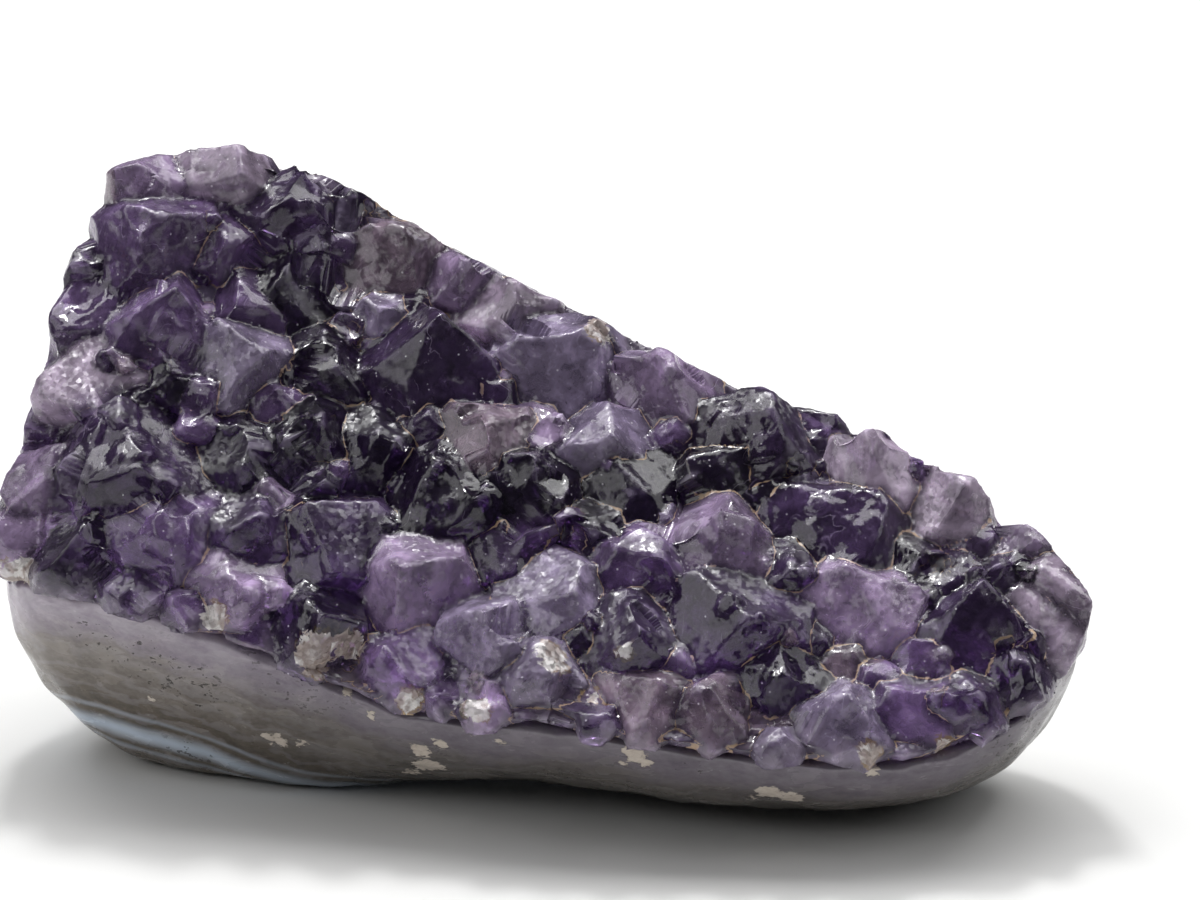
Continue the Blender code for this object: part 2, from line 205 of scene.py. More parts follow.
# Blue-white agate lines: how deep below the crystals and how wide, in mm, and how strong
AGATE_LINES = ((15.5, 1.8, 0.85), (13.0, 0.5, 0.30), (18.0, 0.7, 0.35))

# Studio lights: name, place, width and height in metres, and watts. All face the piece.
LIGHT_AIM = Vector((0.0, 0.0, 0.02))
SOFTBOXES = (
    ("overhead", (0.02, 0.31, 0.69), (1.20, 0.48), 6.9),
    ("side_left", (-0.58, -0.05, 0.52), (0.50, 0.70), 1.7),
    ("side_right", (0.60, -0.02, 0.52), (0.50, 0.70), 1.4),
    ("glints", (-0.06, 0.30, 0.62), (0.10, 0.10), 1.6),
    ("front_fill", (-0.50, -0.42, 0.50), (0.30, 0.30), 0.50),
)
ROOM_COLOUR = (0.92, 0.95, 1.0, 1.0)
ROOM_STRENGTH = 0.04
FLOOR_COLOURS = ((0.80, 0.80, 0.79), (0.84, 0.84, 0.83))


def as_points(mesh):
    points = np.empty(len(mesh.vertices) * 3, np.float32)
    mesh.vertices.foreach_get("co", points)
    return points.reshape(-1, 3).astype(float)


def as_triangles(mesh):
    mesh.calc_loop_triangles()
    triangles = np.empty(len(mesh.loop_triangles) * 3, np.int32)
    mesh.loop_triangles.foreach_get("vertices", triangles)
    return triangles.reshape(-1, 3).astype(np.int64)


def welded(points, triangles):
    """The same triangles with each corner point held once."""
    _, first, index = np.unique(
        np.round(points / WELD).astype(np.int64), axis=0, return_index=True, return_inverse=True
    )
    return points[first], index.reshape(-1)[triangles]


def mesh_from(name, points, faces):
    mesh = bpy.data.meshes.new(name)
    mesh.from_pydata([tuple(point) for point in points], [], [tuple(face) for face in faces])
    mesh.update()
    return mesh


def new_piece(name, mesh):
    obj = bpy.data.objects.new(name, mesh)
    bpy.context.scene.collection.objects.link(obj)
    return obj


def applied(obj):
    """Puts the result of the object's modifiers into its mesh."""
    graph = bpy.context.evaluated_depsgraph_get()
    mesh = bpy.data.meshes.new_from_object(obj.evaluated_get(graph))
    obj.modifiers.clear()
    obj.data = mesh
    return mesh


def triangle_normals(points, triangles):
    a, b, c = (points[triangles[:, k]] for k in range(3))
    normals = np.cross(b - a, c - a)
    areas = np.linalg.norm(normals, axis=1)
    return normals / np.maximum(areas, 1e-20)[:, None], areas / 2


def point_normals(points, triangles):
    normals, areas = triangle_normals(points, triangles)
    weighted = normals * areas[:, None]
    sums = np.zeros_like(points)
    for k in range(3):
        for axis in range(3):
            sums[:, axis] += np.bincount(triangles[:, k], weighted[:, axis], len(points))
    return sums / np.maximum(np.linalg.norm(sums, axis=1), 1e-20)[:, None]


def edges_of(triangles):
    pairs = np.concatenate([triangles[:, [0, 1]], triangles[:, [1, 2]], triangles[:, [2, 0]]])
    return np.unique(np.sort(pairs, axis=1), axis=0)


def neighbour_mean(values, edges):
    """The mean over the neighbours of each point."""
    count = np.bincount(edges.ravel(), minlength=len(values))
    columns = []
    for column in values.reshape(len(values), -1).T:
        total = np.bincount(edges[:, 0], column[edges[:, 1]], len(values))
        total += np.bincount(edges[:, 1], column[edges[:, 0]], len(values))
        columns.append(total / np.maximum(count, 1))
    return np.stack(columns, axis=1).reshape(values.shape)


def waves(points, size, seed, count=14):
    """Smooth noise of about -1 to 1 with features of this size."""
    rng = np.random.default_rng(seed)
    ways = rng.normal(size=(count, 3))
    ways /= np.linalg.norm(ways, axis=1)[:, None]
    rates = 2 * math.pi / size * rng.uniform(0.6, 1.5, count)
    phases = rng.uniform(0, 2 * math.pi, count)
    total = np.zeros(len(points))
    for way, rate, phase in zip(ways, rates, phases):
        total += np.sin(points @ way * rate + phase)
    return total / math.sqrt(count)


def smoothstep(values, low, high):
    share = np.clip((values - low) / (high - low), 0, 1)
    return share * share * (3 - 2 * share)


class Regions:
    """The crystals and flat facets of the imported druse, told apart by how its faces meet."""

    def __init__(self, points, triangles):
        self.points = points
        self.triangles = triangles
        normals, areas = triangle_normals(points, triangles)
        middles = points[triangles].mean(axis=1)
        sides = np.sort(
            np.concatenate([triangles[:, [0, 1]], triangles[:, [1, 2]], triangles[:, [2, 0]]]), axis=1
        )
        owners = np.tile(np.arange(len(triangles)), 3)
        order = np.lexsort((sides[:, 1], sides[:, 0]))
        sides, owners = sides[order], owners[order]
        twins = np.flatnonzero((sides[:-1] == sides[1:]).all(axis=1))
        one, two = owners[twins], owners[twins + 1]
        angles = np.arccos(np.clip((normals[one] * normals[two]).sum(axis=1), -1, 1))
        inward = ((middles[two] - middles[one]) * normals[one]).sum(axis=1) > CREASE
        flat = angles < FLAT_ANGLE
        same = flat | (~inward & (angles < SAME_CRYSTAL_ANGLE))
        ground = (normals[:, 1] > GROUND_BACK) | (normals @ BED_NORMAL < UNDERSIDE)
        grown = same & ~ground[one] & ~ground[two]
        self.normals = normals
        self.areas = areas
        self.facet = self.grouped(one[flat], two[flat], len(triangles))
        self.crystal = self.grouped(one[grown], two[grown], len(triangles))
        self.seams = points[sides[twins[~same & inward]]]
        self.tree = BVHTree.FromPolygons(points.tolist(), triangles.tolist())
        front = np.flatnonzero(~ground)
        front_tree = BVHTree.FromPolygons(points.tolist(), triangles[front].tolist())
        for triangle in np.flatnonzero(ground):
            nearest = front_tree.find_nearest(middles[triangle])[2]
            self.crystal[triangle] = self.crystal[front[nearest]]

    @staticmethod
    def grouped(one, two, count):
        """Numbers the groups that the pairs join."""
        parent = list(range(count))

        def root(item):
            while parent[item] != item:
                parent[item] = parent[parent[item]]
                item = parent[item]
            return item

        for a, b in zip(one.tolist(), two.tolist()):
            parent[root(a)] = root(b)
        _, groups = np.unique([root(item) for item in range(count)], return_inverse=True)
        return groups


def photo_ray(x, y):
    """The camera's place, and the direction through this pixel of the photograph."""
    focal = LENS / SENSOR * PHOTO_WIDTH
    way = Vector((x - PHOTO_WIDTH / 2, PHOTO_HEIGHT / 2 - y, -focal)).normalized()
    return CAMERA_PLACE, Matrix.Rotation(CAMERA_PITCH, 3, "X") @ way


def spread_along(segments, step):
    """Points along each segment, no further apart than this."""
    spots = []
    for start, end in segments:
        count = int(np.linalg.norm(end - start) / step) + 2
        spots.extend(start + (end - start) * k / (count - 1) for k in range(count))
    return np.array(spots)


def distances_to(spots, points):
    tree = KDTree(len(spots))
    for number, spot in enumerate(spots):
        tree.insert(spot, number)
    tree.balance()
    return np.array([tree.find(point)[2] for point in points])


def cell_values(points, size, seed, low, high):
    """A random value for each of the cells, of about this size, that the points lie in."""
    rng = np.random.default_rng(seed)
    corner = points.min(axis=0)
    reach = points.max(axis=0) - corner
    count = int(reach.prod() / size ** 3)
    seeds = corner + reach * rng.random((count, 3))
    tree = KDTree(count)
    for number, spot in enumerate(seeds):
        tree.insert(spot, number)
    tree.balance()
    pushed = points.copy()
    for axis in range(3):
        pushed[:, axis] += 0.35 * size * waves(points, 1.6 * size, seed + 1 + axis)
    nearest = [tree.find(point)[1] for point in pushed]
    return rng.uniform(low, high, count)[nearest]


def blurred(grid, steps):
    """The grid smoothed with a bell curve that reaches about this many cells."""
    reach = np.arange(-2 * steps, 2 * steps + 1)
    bell = np.exp(-0.5 * (reach / steps) ** 2)
    bell /= bell.sum()
    for axis in (0, 1):
        grid = np.apply_along_axis(np.convolve, axis, grid, bell, mode="same")
    return grid


def filled_valleys(points, normals):
    """Lifts what lies below the mean height of the crystals round it, away from the outline."""
    heights = points @ BED_NORMAL
    places = np.stack([points[:, 0], points @ BED_UPWARD], axis=1)
    cells = ((places - places.min(axis=0)) / GRID_STEP).astype(int) + GRID_MARGIN
    size = cells.max(axis=0) + GRID_MARGIN + 1
    flat = np.ravel_multi_index(cells.T, size)
    top = normals @ BED_NORMAL > 0.1
    total = np.bincount(flat[top], heights[top], size.prod()).reshape(size)
    count = np.bincount(flat[top], minlength=size.prod()).reshape(size)
    covered = blurred((count > 0).astype(float), GRID_BLUR)
    weight = np.maximum(blurred(count.astype(float), GRID_BLUR), 1e-6)
    mean = blurred(total, GRID_BLUR) / weight
    inside = smoothstep(covered.ravel()[flat], 0.80, 0.98) * (normals @ BED_NORMAL > -0.15)
    rise = np.maximum(mean.ravel()[flat] + 0.3 * MM - heights, 0.0) * VALLEY_FILL * inside
    return points + rise[:, None] * BED_NORMAL


def small_point(place, axis, width, rise, spin, rng):
    """One small six-sided point with unequal head faces, as points and faces."""
    frame_in = Vector(axis).to_track_quat("Z", "Y").to_matrix()
    shoulder = rise - 0.5 * width
    ring = []
    for level in (-1.1 * width, shoulder):
        for k in range(6):
            around = spin + math.radians(60 * k)
            reach = width * 0.5 * rng.uniform(0.85, 1.15)
            height = level + (rng.uniform(-0.18, 0.18) * width if level == shoulder else 0.0)
            ring.append(Vector((math.cos(around) * reach, math.sin(around) * reach, height)))
    tip = Vector((rng.uniform(-0.12, 0.12) * width, rng.uniform(-0.12, 0.12) * width, rise))
    points = [Vector(place) + frame_in @ corner for corner in [*ring, tip]]
    faces = [(k, (k + 1) % 6, (k + 1) % 6 + 6, k + 6) for k in range(6)]
    faces += [(k + 6, (k + 1) % 6 + 6, 12) for k in range(6)]
    faces.append((5, 4, 3, 2, 1, 0))
    return points, faces


def convex_block(middle, planes, reach):
    """The solid inside all the planes, which are given by a normal and a distance from the middle."""
    bm = bmesh.new()
    bmesh.ops.create_cube(bm, size=4 * reach)
    for normal, distance in planes:
        cut = bmesh.ops.bisect_plane(
            bm, geom=bm.verts[:] + bm.edges[:] + bm.faces[:], dist=1e-9,
            plane_co=normal * distance, plane_no=normal, clear_outer=True,
        )
        rim = [item for item in cut["geom_cut"] if isinstance(item, bmesh.types.BMEdge)]
        if rim:
            bmesh.ops.contextual_create(bm, geom=rim)
    bm.verts.index_update()
    points = [middle + vert.co for vert in bm.verts]
    faces = [tuple(vert.index for vert in face.verts) for face in bm.faces]
    bm.free()
    return points, faces


class Growth:
    """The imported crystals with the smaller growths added, and which crystal each face is part of."""

    def __init__(self, regions):
        self.points = [Vector(point) for point in regions.points]
        self.faces = regions.triangles.tolist()
        self.crystal = regions.crystal.tolist()
        self.facet = regions.facet.tolist()
        self.crystals = max(self.crystal) + 1
        self.facets = max(self.facet) + 1

    def add(self, points, faces, crystal=None):
        """Adds one solid, to this crystal or as a crystal of its own."""
        if crystal is None:
            crystal = self.crystals
            self.crystals += 1
        start = len(self.points)
        self.points += points
        for face in faces:
            self.faces.append(tuple(corner + start for corner in face))
            self.crystal.append(crystal)
            self.facet.append(self.facets)
            self.facets += 1


def stands_out(points, regions, most):
    """Whether the points stand out of the ground back or lower edge, or further than most above."""
    for point in points:
        place, normal, _, _ = regions.tree.find_nearest(point)
        limit = most
        if normal.dot(Vector(BED_NORMAL)) < SLOPE_EDGE:
            limit = 0.4 * MM
        if normal.y > GROUND_BACK:
            limit = 0.1 * MM
        if (point - place).dot(normal) > limit:
            return True
    return False


def add_blocks(growth, regions, rng):
    """Low steps on the crystals, with faces parallel to those of the crystal that they sit on."""
    facing = regions.normals @ BED_NORMAL
    weights = np.where(facing > 0.05, regions.areas, 0.0)
    chosen = rng.choices(range(len(weights)), weights, k=BLOCKS)
    for triangle in chosen:
        crystal = regions.crystal[triangle]
        members = np.flatnonzero((regions.crystal == crystal) & (facing > 0.0))
        axis = (regions.normals[members] * regions.areas[members][:, None]).sum(axis=0)
        axis = Vector(axis).normalized()
        normal = Vector(regions.normals[triangle])
        size = rng.uniform(1.2, 2.9) * MM
        planes = [(normal, size), (-axis, size)]
        for facet in np.unique(regions.facet[members])[:7]:
            own = Vector(regions.normals[members[regions.facet[members] == facet][0]])
            side = own - axis * own.dot(axis)
            if own.dot(normal) < 0.99:
                planes.append((own, size * rng.uniform(0.85, 1.25)))
            if side.length > 0.2:
                side.normalize()
                planes.append((side, size * rng.uniform(0.8, 1.3)))
                planes.append((-side, size * rng.uniform(0.6, 1.2)))
        corners = [Vector(regions.points[corner]) for corner in regions.triangles[triangle]]
        shares = [rng.uniform(0.1, 1.0) for _ in corners]
        place = sum((corner * share for corner, share in zip(corners, shares)), Vector())
        place /= sum(shares)
        middle = place - normal * (size - rng.uniform(0.10, 0.50) * MM)
        block, faces = convex_block(middle, planes, size)
        if not stands_out(block, regions, BLOCK_PROUD):
            growth.add(block, faces, crystal)


def add_small_points(growth, regions, rng):
    """Small crystals that sit in the seams between the large ones."""
    spots = spread_along(regions.seams, 2 * SEAM_STEP)
    low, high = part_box("amethyst_crystals")
    made = 0
    while made < SMALL_POINTS:
        spot = spots[rng.randrange(len(spots))]
        place, normal, _, _ = regions.tree.find_nearest(Vector(spot) + Vector(BED_NORMAL) * MM)
        if place.z < low.z + 3 * MM or place.z > high.z - 3 * MM:
            continue
        axis = Vector(BED_NORMAL) * 0.9 + normal * 0.5
        axis += Vector((rng.gauss(0, 0.3), rng.gauss(0, 0.3), rng.gauss(0, 0.3)))
        width = rng.uniform(1.6, 3.6) * MM
        rise = rng.uniform(0.30, 0.60) * width
        corners, faces = small_point(
            place, axis.normalized(), width, rise, rng.uniform(0, math.tau), rng
        )
        if not stands_out(corners, regions, POINT_PROUD):
            growth.add(corners, faces)
            made += 1


def scoop_chips(points, normals, sharpness, rng):
    """Shell-shaped scars where edges and tips have broken."""
    candidates = np.flatnonzero(sharpness > np.quantile(sharpness, 0.93))
    for _ in range(CHIPS):
        at = points[candidates[rng.randrange(len(candidates))]]
        way = normals[np.argmin(((points - at) ** 2).sum(axis=1))]
        way = way + np.array([rng.gauss(0, 0.35) for _ in range(3)])
        way /= np.linalg.norm(way)
        reach = rng.uniform(2.5, 9.0) * MM
        depth = rng.uniform(0.12, 0.42) * MM
        middle = at + way * (reach - depth)
        offset = points - middle
        inside = (offset ** 2).sum(axis=1) < reach ** 2
        inside &= ((points - at) ** 2).sum(axis=1) < (3.2 * MM) ** 2
        inner = offset[inside]
        along = inner @ way
        across = (inner ** 2).sum(axis=1) - along ** 2
        points[inside] += np.outer(-along - np.sqrt(np.maximum(reach ** 2 - across, 0)), way)
    return points


def shape_druse(regions):
    """The dense, worn mesh of the druse, and the clean solids that it is made from.

    The mesh keeps how far each point was lifted out of a valley, so that a later step can tell
    which crystal the point belongs to.
    """
    rng = random.Random(SHAPE_SEED)
    growth = Growth(regions)
    add_blocks(growth, regions, rng)
    add_small_points(growth, regions, rng)
    tree = BVHTree.FromPolygons(growth.points, growth.faces)

    # One even skin over all the solids, put back on their faces
    obj = new_piece("druse_work", mesh_from("druse_work", growth.points, growth.faces))
    remesh = obj.modifiers.new("remesh", "REMESH")
    remesh.mode = "VOXEL"
    remesh.voxel_size = VOXEL
    mesh = applied(obj)
    points = as_points(mesh)
    triangles = as_triangles(mesh)
    points = np.array([tree.find_nearest(point)[0] for point in points])
    edges = edges_of(triangles)

    # Shallower valleys, then rounded edges that leave the hollows sharp
    unfilled = points
    points = filled_valleys(points, point_normals(points, triangles))
    lifts = points - unfilled
    for _ in range(ROUNDING_STEPS):
        normals = point_normals(points, triangles)
        pull = neighbour_mean(points, edges) - points
        inward = np.minimum((pull * normals).sum(axis=1), 0.0)
        points += normals * (inward * ROUNDING)[:, None]

    # Broken edges, then a soft swell with growth terraces
    normals = point_normals(points, triangles)
    sharpness = -((neighbour_mean(points, edges) - points) * normals).sum(axis=1)
    points = scoop_chips(points, normals, sharpness, rng)
    normals = point_normals(points, triangles)
    swell = 0.12 * MM * waves(points, 5.0 * MM, seed=11)
    swell += 0.03 * MM * waves(points, 1.7 * MM, seed=12)
    step = waves(points, 4.0 * MM, seed=13) * 2.2
    terrace = np.floor(step) + smoothstep(step - np.floor(step), 0.0, 0.22)
    swell += 0.035 * MM * (terrace - step)
    points += normals * swell[:, None]

    # Fewer triangles, most of them where the surface bends
    obj.data = mesh_from("druse_work", points, triangles)
    for axis, name in enumerate(("lift_x", "lift_y", "lift_z")):
        store(obj.data, name, lifts[:, axis])
    decimate = obj.modifiers.new("fewer", "DECIMATE")
    decimate.ratio = min(1.0, MOST_TRIANGLES / len(triangles))
    decimate.use_collapse_triangulate = True
    mesh = applied(obj)
    bpy.data.objects.remove(obj)
    return mesh, growth, tree


def store(mesh, name, values):
    attribute = mesh.attributes.new(name, "FLOAT", "POINT")
    attribute.data.foreach_set("value", values.astype(np.float32))


def stored(mesh, name):
    values = np.empty(len(mesh.vertices), np.float32)
    mesh.attributes[name].data.foreach_get("value", values)
    return values.astype(float)


def spots_at(points, tree, spots):
    """How far inside the nearest of the spots that these pixels show each point is, in mm."""
    found = np.full(len(points), -9.0)
    for x, y, size in spots:
        hit = tree.ray_cast(*photo_ray(x, y))[0]
        if hit:
            found = np.maximum(found, size - np.linalg.norm(points - np.array(hit), axis=1) / MM)
    return found


def kinds_of_crystals(growth, tree):
    """A kind for each crystal: what the photograph shows nearest its middle, or a likely one."""
    rng = random.Random(KIND_SEED)
    middles = np.zeros((growth.crystals, 3))
    count = np.zeros(growth.crystals)
    for face, crystal in zip(growth.faces, growth.crystal):
        middles[crystal] += np.mean([growth.points[corner] for corner in face], axis=0)
        count[crystal] += 1
    middles /= np.maximum(count, 1)[:, None]
    found = {}
    for kind, pixels in SEEN.items():
        for x, y in pixels:
            place, _, face, _ = tree.ray_cast(*photo_ray(x, y))
            if place:
                crystal = growth.crystal[face]
                found.setdefault(crystal, []).append(((Vector(middles[crystal]) - place).length, kind))
    kinds = [rng.choice(REST_OF) for _ in range(growth.crystals)]
    for crystal, seen in found.items():
        kinds[crystal] = min(seen)[1]
    return kinds


def fade_into_base(points):
    """How far the crystals take on the milky colour of the rind at their roots, from 0 to 1."""
    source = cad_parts["agate_base"]
    tree = BVHTree.FromPolygons(as_points(source.data).tolist(), as_triangles(source.data).tolist())
    away = np.array([tree.find_nearest(point)[3] for point in points]) / MM
    away += 0.9 * waves(points, 3.5 * MM, seed=61)
    return 0.90 * (1 - smoothstep(away, 0.2, 3.6))


def dress_druse(regions):
    """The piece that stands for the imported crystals, with what its material needs at each point."""
    mesh, growth, tree = shape_druse(regions)
    points = as_points(mesh)
    triangles = as_triangles(mesh)
    normals = point_normals(points, triangles)
    edges = edges_of(triangles)

    # Which crystal and facet each point belongs to
    lifts = [stored(mesh, name) for name in ("lift_x", "lift_y", "lift_z")]
    packed = points - np.stack(lifts, axis=1)
    nearest = [tree.find_nearest(point)[2] for point in packed]
    crystal = np.array(growth.crystal)[nearest]
    facet = np.array(growth.facet)[nearest]

    # Colour by kind, varied by crystal and growth zone, with painted light and shade that differs by
    # facet, and milky at the roots
    kinds = kinds_of_crystals(growth, tree)
    bodies = np.array([KINDS[kind][0] for kind in kinds])
    clear = np.array([KINDS[kind][1] for kind in kinds])
    frost = np.array([KINDS[kind][2] for kind in kinds])
    shades = np.random.default_rng(SHADE_SEED)
    shade = shades.uniform(0.85, 1.15, len(kinds))[crystal]
    shade *= shades.uniform(0.88, 1.12, growth.facets)[facet]
    shade *= np.exp(0.22 * waves(points, 4.5 * MM, seed=41))
    shade *= cell_values(points, 3.4 * MM, seed=42, low=0.72, high=1.34)
    # Painted light and shade of small facets, in cells
    store(mesh, "painted_facet_light", cell_values(points, 2.1 * MM, seed=43, low=0.0, high=1.0))
    colours = np.ones((len(points), 4), np.float32)
    rooted = fade_into_base(points)
    colours[:, :3] = bodies[crystal] * (shade * (1 - rooted))[:, None] + np.outer(rooted, ROOT_COLOUR)
    attribute = mesh.attributes.new("body", "FLOAT_COLOR", "POINT")
    attribute.data.foreach_set("color", colours.ravel())
    store(mesh, "clear", clear[crystal] * (1 - 0.6 * rooted))
    store(mesh, "frost", frost[crystal])
    finish = np.random.default_rng(FACET_SEED).uniform(0, 1, growth.facets)
    store(mesh, "facet", finish[facet])

    # How far each point is from a seam. The sign differs by crystal, so that the line between two
    # crystals is crisp where the sign turns.
    seam = distances_to(spread_along(regions.seams, SEAM_STEP), packed) / MM
    for name in ("side_a", "side_b"):
        signs = shades.choice((-1.0, 1.0), len(kinds))
        store(mesh, name, seam * signs[crystal])

    # Ochre in the seams, most of it towards the right, cracks, white places, and worn edges with a
    # painted highlight
    right = smoothstep(points[:, 0], -45 * MM, 10 * MM)
    ochre = smoothstep(waves(points, 13 * MM, seed=51) + right, -0.1, 0.7)
    ochre *= smoothstep(waves(points, 2.4 * MM, seed=52), -0.8, 0.5)
    store(mesh, "ochre", 0.01 + ochre)
    vein = waves(points, 5.5 * MM, seed=53) + 0.25 * waves(points, 1.8 * MM, seed=54)
    store(mesh, "vein", vein)
    store(mesh, "veined", smoothstep(waves(points, 4.0 * MM, seed=55), 0.1, 0.8))
    store(mesh, "white", spots_at(points, tree, WHITE_SPOTS))
    bend = ((neighbour_mean(points, edges) - points) * normals).sum(axis=1) / MM
    for _ in range(2):
        bend = 0.5 * bend + 0.5 * neighbour_mean(bend, edges)
    worn = smoothstep(waves(points, 2.0 * MM, seed=56), -0.3, 0.8)
    store(mesh, "wear_and_edge_highlight", smoothstep(-bend, 0.012, 0.05) * worn)

    mesh.shade_smooth()
    mesh.set_sharp_from_angle(angle=SHARP_ANGLE)
    mesh.materials.append(amethyst_material())
    piece = new_piece("amethyst_druse", mesh)
    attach(piece, "root")
    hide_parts("amethyst_crystals")
    return piece


class Nodes:
    """Short calls for building a material's nodes."""

    def __init__(self, name):
        self.material = bpy.data.materials.new(name)
        self.material.use_nodes = True
        self.tree = self.material.node_tree
        self.shader = self.tree.nodes["Principled BSDF"]
        self.output = self.tree.nodes["Material Output"]
        coordinates = self.add("ShaderNodeTexCoord")
        self.place = coordinates.outputs["Object"]

    def add(self, kind, **settings):
        node = self.tree.nodes.new(kind)
        for key, value in settings.items():
            setattr(node, key, value)
        return node

    def join(self, source, socket):
        self.tree.links.new(source, socket)

    def put(self, socket, value):
        if isinstance(value, bpy.types.NodeSocket):
            self.join(value, socket)
        else:
            socket.default_value = value

    def attribute(self, name, colour=False):
        node = self.add("ShaderNodeAttribute", attribute_name=name)
        return node.outputs["Color" if colour else "Fac"]

    def math(self, operation, a, b=0.0, clamp=False):
        node = self.add("ShaderNodeMath", operation=operation, use_clamp=clamp)
        self.put(node.inputs[0], a)
        self.put(node.inputs[1], b)
        return node.outputs[0]

    def ramp(self, value, low, high, start=0.0, end=1.0):
        """Smoothly from start to end as value goes from low to high."""
        node = self.add("ShaderNodeMapRange", interpolation_type="SMOOTHSTEP")
        for number, item in enumerate((value, low, high, start, end)):
            self.put(node.inputs[number], item)
        return node.outputs[0]

    def mix(self, share, a, b, blend="MIX"):
        node = self.add("ShaderNodeMix", data_type="RGBA", blend_type=blend)
        self.put(node.inputs[0], share)
        for number, item in ((6, a), (7, b)):
            if isinstance(item, tuple) and len(item) == 3:
                item = (*item, 1.0)
            self.put(node.inputs[number], item)
        return node.outputs[2]

    def noise(self, size, detail=3.0, roughness=0.55, warp=0.0, squash=1.0):
        """Noise of 0 to 1 with features of about this size in metres, this much flatter than wide."""
        node = self.add("ShaderNodeTexNoise")
        place = self.place
        if squash != 1.0:
            squashed = self.add("ShaderNodeVectorMath", operation="MULTIPLY")
            self.join(place, squashed.inputs[0])
            squashed.inputs[1].default_value = (1.0, 1.0, squash)
            place = squashed.outputs[0]
        self.join(place, node.inputs["Vector"])
        node.inputs["Scale"].default_value = 1.0 / size
        node.inputs["Detail"].default_value = detail
        node.inputs["Roughness"].default_value = roughness
        node.inputs["Distortion"].default_value = warp
        return node.outputs["Fac"]

    def cells(self, size):
        """The distance from the middle of each cell of this size in metres, and a random colour."""
        node = self.add("ShaderNodeTexVoronoi")
        self.join(self.place, node.inputs["Vector"])
        node.inputs["Scale"].default_value = 1.0 / size
        return node.outputs["Distance"], node.outputs["Color"]

    def inside(self, depth, noise, ragged):
        """1 inside spots of this depth in mm, 0 outside, with an edge that the noise makes ragged."""
        push = self.math("MULTIPLY", self.math("SUBTRACT", noise, 0.5), 2.0 * ragged)
        return self.ramp(self.math("ADD", depth, push), -0.05, 0.15)

    def share_of(self, colour):
        """One number of 0 to 1 from a random colour."""
        node = self.add("ShaderNodeSeparateColor")
        self.join(colour, node.inputs[0])
        return node.outputs[0]

    def tilted(self, colour, reach):
        """The surface's normal, tilted this far by a random colour, as if by tiny facets."""
        centred = self.add("ShaderNodeVectorMath", operation="SUBTRACT")
        self.join(colour, centred.inputs[0])
        centred.inputs[1].default_value = (0.5, 0.5, 0.5)
        scaled = self.add("ShaderNodeVectorMath", operation="SCALE")
        self.join(centred.outputs[0], scaled.inputs[0])
        self.join(reach, scaled.inputs["Scale"])
        total = self.add("ShaderNodeVectorMath", operation="ADD")
        self.join(self.add("ShaderNodeNewGeometry").outputs["Normal"], total.inputs[0])
        self.join(scaled.outputs[0], total.inputs[1])
        even = self.add("ShaderNodeVectorMath", operation="NORMALIZE")
        self.join(total.outputs[0], even.inputs[0])
        return even.outputs[0]

    def bump(self, height, depth, normal=None):
        node = self.add("ShaderNodeBump")
        self.join(height, node.inputs["Height"])
        node.inputs["Distance"].default_value = depth
        if normal:
            self.join(normal, node.inputs["Normal"])
        return node.outputs[0]


